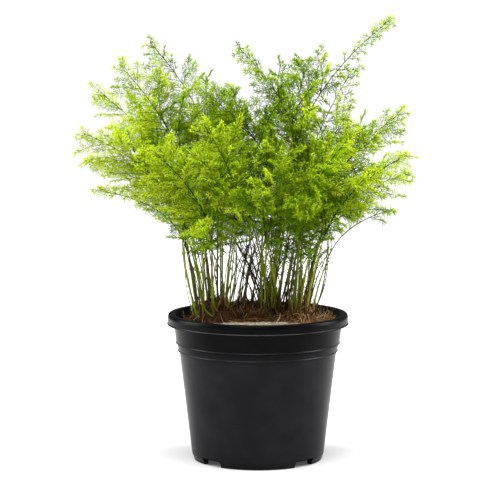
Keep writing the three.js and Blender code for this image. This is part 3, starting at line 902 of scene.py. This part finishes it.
NEEDLE_LENGTH_MM = (3.0, 5.0)
NEEDLE_WIDTH_MM = 0.68
PLUME_SPACING = 3.7 * MM
BRANCHLET_SPACING = 2.1 * MM
NODE_SPACING = 1.45 * MM
WIDEST_BLADE = 23 * MM           # half the width of a CAD blade of full width
TIP_FULLNESS = 0.8               # sprays narrow later than the CAD blades; 1 would be alike
RIB_TONE = 0.1
FROND_SHADES = 0.06              # how much lighter or darker one rib's sprays are than another's
RIB_STEPS, ARM_STEPS = 40, 26

SPRAY_REACH = 1.2                # how much wider than its blade a spray is, unless listed here
SPRAY_REACHES = {
    "left_low": 0.95, "left_spread": 0.9, "left_curtain": 0.9, "left_front": 1.1, "left_top": 1.0,
    "top_side": 0.8, "top_spray": 0.95, "top_tall": 1.55, "right_low": 0.85,
}

# A frond branches again. Each arm: where it leaves the rib and how long it is, as shares of
# the rib, and how far it turns to the side and out of the frond's face, in radians. The low
# arms spread level, and the high ones rise with the rib.
LOW_ARMS = [(0.02, 0.66, 0.50, 0.34), (0.08, 0.60, -0.52, -0.30)]
HIGH_ARMS = [(0.26, 0.52, 0.46, -0.42), (0.38, 0.46, -0.46, 0.40), (0.56, 0.34, 0.44, 0.25)]
HIGH_ARM_COUNTS = {
    "left_low": 1, "left_spread": 1, "left_curtain": 0, "left_front": 2, "left_top": 1,
    "top_side": 0, "right_low": 0, "right_edge": 2, "right_spread": 2,
}
TALL_FROND = "top_tall"
TALL_ARMS = [
    (0.06, 0.48, 0.6, 0.1), (0.16, 0.42, 0.7, -0.15),
    (0.28, 0.38, 0.75, 0.2), (0.42, 0.3, 0.7, -0.1),
]
TALL_FULLNESS = 0.8              # its blade is narrow, but its arms are this share of full width
ARM_WIDTH = 0.66                 # an arm's width, as a share of its frond's
ARM_BEND = 0.4                   # how far along its reach an arm still follows the rib
TIP_PLUME = 0.87                 # where on its rib the last plume starts
LOW_PLUMES = 13                  # round the top of each stem
PLUME_TURN = 2.4                 # radians from one of those to the next

POT_TOP = box_of("pot")[1][2]
SKIRT = POT_TOP + 44 * MM        # the plant's ragged lower edge, near its middle
SKIRT_MIDDLE, SKIRT_RISE = 38 * MM, 0.5    # farther out than this it rises, at this slope
ARCH_HEIGHT, ARCH_HALF_WIDTH, ARCH_PLACE = 13 * MM, 14 * MM, -8 * MM
# Painted light and shade on the sprays: the tone deep in the plant, as painted shade, and how much
# lighter outside it and at its sides, as painted light.
PAINTED_SHADE_TONE, PAINTED_OUTER_LIGHT, PAINTED_SIDE_LIGHT = 0.35, 0.42, 0.08


def along_path(path, shares):
    """Places on a path and its direction there."""
    place = np.clip(shares, 0, 1) * (len(path) - 1)
    low = np.minimum(place.astype(int), len(path) - 2)
    step = path[low + 1] - path[low]
    return path[low] + (place - low)[:, None] * step, unit(step)


def add_needle_rows(pile, rng, feet, forward, normals, reach, tones):
    """Two rows of needles along each branchlet, leaning forward."""
    nodes = np.maximum(2, np.round(reach / NODE_SPACING).astype(int))
    which = np.repeat(np.arange(len(reach)), nodes)
    order = np.concatenate([(np.arange(n) + 0.7) / n for n in nodes])
    places = feet[which] + (order * reach[which])[:, None] * forward[which]
    across = np.cross(normals, forward)[which]
    for side in (-1, 1):
        lean = rng.uniform(0.4, 0.95, len(which))[:, None]
        lift = rng.normal(0.1, 0.35, len(which))[:, None]
        aim = np.cos(lean) * forward[which] + np.sin(lean) * side * across + lift * normals[which]
        lengths = rng.uniform(*NEEDLE_LENGTH_MM, len(which)) * MM * (1.05 - 0.3 * order)
        tone = tones[which] + 0.1 * order + rng.normal(0, 0.05, len(which))
        widths = np.full(len(which), NEEDLE_WIDTH_MM * MM)
        add_needles(pile, places, aim, lengths, widths, np.clip(tone, 0.3, 0.97))


def add_plume(pile, rng, start, heading, normal, length, tone):
    """A side spray: a feather of short branchlets, each with its two rows of needles."""
    normal = unit(normal - np.dot(normal, heading) * heading)
    across = np.cross(normal, heading)
    share = np.linspace(0, 1, 8)[:, None]
    droop = -rng.uniform(0.0, 0.16) * length * Z_AXIS
    sweep = rng.normal(0, 0.07) * length * across
    path = start + share * length * heading + share ** 2 * (droop + sweep)
    add_tubes(pile, path[None], np.linspace(0.24, 0.12, 8)[None] * MM, [RIB_TONE + 0.4 * tone])

    count = max(3, int(length / BRANCHLET_SPACING))
    shares = (np.arange(count) + rng.uniform(0.3, 0.7)) / count
    feet, forward = along_path(path, shares)
    side = np.where(np.arange(count) % 2 == 0, 1, -1)[:, None]
    angle = rng.uniform(0.6, 0.9, count)[:, None]
    tilt = rng.normal(0, 0.16, count)[:, None]
    aim = unit(np.cos(angle) * forward + np.sin(angle) * side * across + tilt * normal)
    widest = np.clip(0.34 * length, 3.5 * MM, 10 * MM)
    outline = (1 - shares) ** 0.7 * np.minimum(1, 0.5 + 3 * shares)
    reach = np.maximum(widest * outline * rng.uniform(0.75, 1.15, count), 1.6 * MM)
    ends = np.linspace(0, 1, 3)[None, :, None]
    twigs = feet[:, None] + ends * reach[:, None, None] * aim[:, None]
    twig_radii = np.full((count, 1), 0.13 * MM) * np.linspace(1, 0.6, 3)
    add_tubes(pile, twigs, twig_radii, np.full(count, 0.05 + 0.75 * tone))
    normals = np.repeat(normal[None], count, axis=0)
    add_needle_rows(pile, rng, feet, aim, normals, reach, tone + 0.1 * shares)
    last = np.array([path[-3]])
    end_reach, end_tone = np.array([length * 2 / 7]), np.array([tone + 0.1])
    add_needle_rows(pile, rng, last, unit(path[-1:] - last), normals[:1], end_reach, end_tone)


PLANT_LOW, PLANT_HIGH = np.array(cad_box[0]), np.array(cad_box[1])
PLANT_HALF = (PLANT_HIGH - PLANT_LOW) / 2
OVERHANG = 3 * MM                # how far past the CAD plant's box a side spray may end
# The place deep in the plant where the sprays are painted darkest, as painted shade.
SHADE_CENTRE = np.array([0.0, 0.0, mix(POT_TOP, PLANT_HIGH[2], 0.35)])


def lit_and_shaded_tone(place):
    """Painted light and shade: sprays are painted darker deep in the plant, as painted shade, and a
    lighter, yellower green outside it and most of all at its sides, as painted light.
    """
    away = (place - SHADE_CENTRE) / PLANT_HALF
    outside = min(1.0, float(np.linalg.norm(away * [1.0, 0.7, 0.6])))
    return PAINTED_SHADE_TONE + PAINTED_OUTER_LIGHT * outside + PAINTED_SIDE_LIGHT * min(1.0, abs(float(away[0])))


def within_plant(start, heading, reach):
    """The reach, cut short where it would leave the box of the CAD plant."""
    limit = np.where(heading > 0, PLANT_HIGH + OVERHANG, PLANT_LOW - OVERHANG)
    steps = (limit - start) / np.where(np.abs(heading) < 1e-6, 1e-6, heading)
    return max(5 * MM, min(reach, float(steps.min())))


def levelled(heading):
    """Side sprays spread more level than the rib that they grow from, and hardly hang."""
    flat = heading.copy()
    flat[2] *= 0.6 if flat[2] > 0 else 0.25
    return unit(flat)


def hangs_too_low(rng, end):
    """Below the plant's ragged skirt there are only stems; it arches over a gap in the middle."""
    outward = SKIRT_RISE * max(0.0, abs(end[0]) - SKIRT_MIDDLE)
    arch = ARCH_HEIGHT * math.exp(-((end[0] - ARCH_PLACE) / ARCH_HALF_WIDTH) ** 2)
    return end[2] < SKIRT + outward + arch + rng.uniform(-5, 20) * MM


def add_plumes(pile, rng, rib, flat, half_width, shade):
    """Plumes to the left and right of a rib, as wide as the frond's outline, and one at its tip."""
    last = len(rib) - 1
    along = unit(np.gradient(rib, axis=0))
    count = int(path_length(rib) / PLUME_SPACING)
    for index in range(count):
        place = ((index + 0.5) / count) ** 0.85
        k = int(place * last)
        side = 1 if index % 2 == 0 else -1
        angle = mix(1.15, 0.55, place) + rng.normal(0, 0.08)
        heading = math.cos(angle) * along[k] + math.sin(angle) * side * flat[k]
        heading = levelled(unit(heading + rng.normal(0, 0.14, 3)))
        reach = half_width * float(frond_outline(place)) ** TIP_FULLNESS / math.sin(angle)
        reach = within_plant(rib[k], heading, max(8 * MM, reach * rng.choice([0.5, 0.8, 1.0, 1.2])))
        if hangs_too_low(rng, rib[k] + heading * reach):
            continue
        face = mix(np.cross(flat[k], along[k]), Z_AXIS, 0.5) + rng.normal(0, 0.25, 3)
        tone = lit_and_shaded_tone(rib[k] + heading * reach) + shade + rng.normal(0, 0.1)
        add_plume(pile, rng, rib[k], heading, face, reach, tone)
    tip_start = int(TIP_PLUME * last)
    tip_reach = np.linalg.norm(rib[-1] - rib[tip_start])
    face = mix(np.cross(flat[-1], along[-1]), Z_AXIS, 0.5)
    tone = lit_and_shaded_tone(rib[-1]) + shade + 0.05
    add_plume(pile, rng, rib[tip_start], unit(rib[-1] - rib[tip_start]), face, tip_reach, tone)


def frond_sides(rib, roll):
    """The direction across the frond's face at each place on a rib."""
    level, upward = cross_directions(unit(np.gradient(rib, axis=0)))
    return math.cos(roll) * level + math.sin(roll) * upward


def arms_of(name):
    """The tall frond branches along its upper side only; the others branch to both sides."""
    if name == TALL_FROND:
        return TALL_ARMS
    return LOW_ARMS + HIGH_ARMS[:HIGH_ARM_COUNTS.get(name, len(HIGH_ARMS))]


def make_frond(name):
    rng = seeded(f"frond_{name}")
    shape = frond_shape(name)
    rib = bezier(shape["start"], shape["bend"], shape["tip"], np.linspace(0, 1, RIB_STEPS))
    length = path_length(rib)
    along = unit(np.gradient(rib, axis=0))
    flat = frond_sides(rib, shape["roll"])
    wider = SPRAY_REACHES.get(name, SPRAY_REACH)
    half_width = wider * shape["half_width"]
    tall = name == TALL_FROND
    arm_roll = math.pi / 2 if tall else shape["roll"]
    arm_side = frond_sides(rib, arm_roll)
    fullness = TALL_FULLNESS if tall else shape["half_width"] / WIDEST_BLADE
    arm_half_width = ARM_WIDTH * wider * WIDEST_BLADE * fullness
    pile = Pile()
    add_tubes(pile, rib[None], np.linspace(0.5, 0.2, RIB_STEPS)[None] * MM, [RIB_TONE], sides=6)
    add_plumes(pile, rng, rib, flat, half_width, rng.normal(0, FROND_SHADES))
    for leaves, share, sideways, outwards in arms_of(name):
        k = int(leaves * (RIB_STEPS - 1))
        turned_out = outwards + rng.normal(0, 0.1)
        turned_side = sideways * fullness + rng.normal(0, 0.06)
        out = np.cross(along[k], arm_side[k])
        heading = unit(along[k] + math.tan(turned_side) * arm_side[k] + math.tan(turned_out) * out)
        if (leaves, share, sideways, outwards) in LOW_ARMS:
            heading = levelled(heading)
        reach = within_plant(rib[k], heading, share * length * rng.uniform(0.85, 1.1))
        tip = rib[k] + reach * heading
        if hangs_too_low(rng, tip):
            continue
        bend = rib[k] + ARM_BEND * reach * along[k]
        arm = bezier(rib[k], bend, tip, np.linspace(0, 1, ARM_STEPS))
        radii = np.linspace(0.36, 0.15, ARM_STEPS)[None] * MM
        add_tubes(pile, arm[None], radii, [RIB_TONE + 0.05], sides=5)
        sides = frond_sides(arm, arm_roll + 0.5 * outwards)
        add_plumes(pile, rng, arm, sides, arm_half_width, rng.normal(0, FROND_SHADES))
    add_low_plumes(pile, rng, name)
    piece = pile.build(f"frond_{name}_spray", FOLIAGE)
    hand_over(piece, "foliage", f"frond_{name}")


def add_low_plumes(pile, rng, name):
    """Sprays on the upper part of the stem, all the way round it."""
    path = smooth_path(stem_line(f"stem_{name}")[0], STEM_STEPS)
    feet, forward = along_path(path, np.linspace(0.6, 0.99, LOW_PLUMES))
    turn = rng.uniform(0, 2 * math.pi)
    for index in range(LOW_PLUMES):
        azimuth = turn + index * PLUME_TURN + rng.normal(0, 0.3)
        outward = np.array([math.cos(azimuth), math.sin(azimuth), 0])
        heading = unit(outward + rng.uniform(0.15, 0.7) * forward[index])
        reach = rng.uniform(12, 24) * MM
        if hangs_too_low(rng, feet[index] + heading * reach):
            continue
        face = Z_AXIS + rng.normal(0, 0.45, 3)
        tone = lit_and_shaded_tone(feet[index] + heading * reach) - 0.04 + rng.normal(0, 0.05)
        add_plume(pile, rng, feet[index], heading, face, reach, tone)


# -------- floor, light and camera

def area_light(name, place, aim, size, power):
    lamp = bpy.data.lights.new(name, "AREA")
    lamp.shape = "RECTANGLE"
    lamp.size, lamp.size_y = size
    lamp.energy = power
    lamp_object = bpy.data.objects.new(name, lamp)
    bpy.context.scene.collection.objects.link(lamp_object)
    lamp_object.location = place
    lamp_object.rotation_euler = (Vector(aim) - Vector(place)).to_track_quat("-Z", "Y").to_euler()


# How strongly the floor glows at each distance from the middle, so that it stays evenly pale
# while the lamps' light falls off, and keeps a soft shadow round the pot.
FLOOR_GLOW = [(0.05, 0.06), (0.12, 0.24), (0.5, 0.5), (1.2, 1.0)]


def make_studio():
    radius, around = 1.5, 96
    paint = Paint("studio_white")
    place = paint.add("TexCoord", {}).outputs["Object"]
    away = paint.add("VectorMath", {0: place}, operation="LENGTH").outputs["Value"]
    stops = [(near / radius, (level, level, level)) for near, level in FLOOR_GLOW]
    paint.give(paint.shader, {
        "Base Color": (0.48, 0.48, 0.48, 1),
        "Roughness": 0.9,
        "Specular IOR Level": 0.1,
        "Emission Color": (1, 1, 1, 1),
        "Emission Strength": paint.ramp(paint.span(away, 0.0, radius), stops),
    })
    floor = [tuple(range(around))]
    new_solid("studio_floor", circle(radius, 0, around), floor, paint.material)

    world = bpy.data.worlds.new("studio")
    bpy.context.scene.world = world
    world.use_nodes = True
    tree = world.node_tree
    background = next(n for n in tree.nodes if n.type == "BACKGROUND")
    seen = tree.nodes.new("ShaderNodeBackground")
    for shown, strength in ((background, 0.14), (seen, 1.05)):
        shown.inputs["Color"].default_value = (1, 1, 1, 1)
        shown.inputs["Strength"].default_value = strength
    path = tree.nodes.new("ShaderNodeLightPath")
    choose = tree.nodes.new("ShaderNodeMixShader")
    output = next(n for n in tree.nodes if n.type == "OUTPUT_WORLD")
    tree.links.new(path.outputs["Is Camera Ray"], choose.inputs["Fac"])
    tree.links.new(background.outputs[0], choose.inputs[1])
    tree.links.new(seen.outputs[0], choose.inputs[2])
    tree.links.new(choose.outputs[0], output.inputs["Surface"])

    aim = (0, 0, 0.17)
    area_light("top_softbox", (0.0, -0.2, 1.5), aim, (1.4, 1.4), 68)
    area_light("left_softbox", (-1.4, 0.15, 0.7), aim, (0.7, 1.2), 34)
    area_light("right_softbox", (1.4, 0.15, 0.7), aim, (0.7, 1.2), 34)
    area_light("front_fill", (-0.5, -1.5, 1.6), aim, (0.8, 0.8), 10)


def make_camera():
    lens_px, image_px, sensor = 2186, 500, 36.0
    distance, height = 1.55, 0.325
    pitch, yaw = math.radians(6.433), math.atan(8.0 / lens_px)
    data = bpy.data.cameras.new("camera")
    data.sensor_width = sensor
    data.lens = sensor * lens_px / image_px
    camera = bpy.data.objects.new("camera", data)
    bpy.context.scene.collection.objects.link(camera)
    camera.location = (0, -distance, height)
    camera.rotation_euler = (math.pi / 2 - pitch, 0, yaw)
    bpy.context.scene.camera = camera
    bpy.context.scene.view_settings.view_transform = "Standard"


# -------- the whole plant

make_camera()
make_studio()
make_pot()
make_soil()
make_soil_fibres()
make_crust()
for crown in CROWNS:
    make_crown(crown)
for shoot in SHOOTS:
    make_stem(shoot)
    make_frond(shoot)
for dry in DRY_STEMS:
    make_dry_stem(dry)
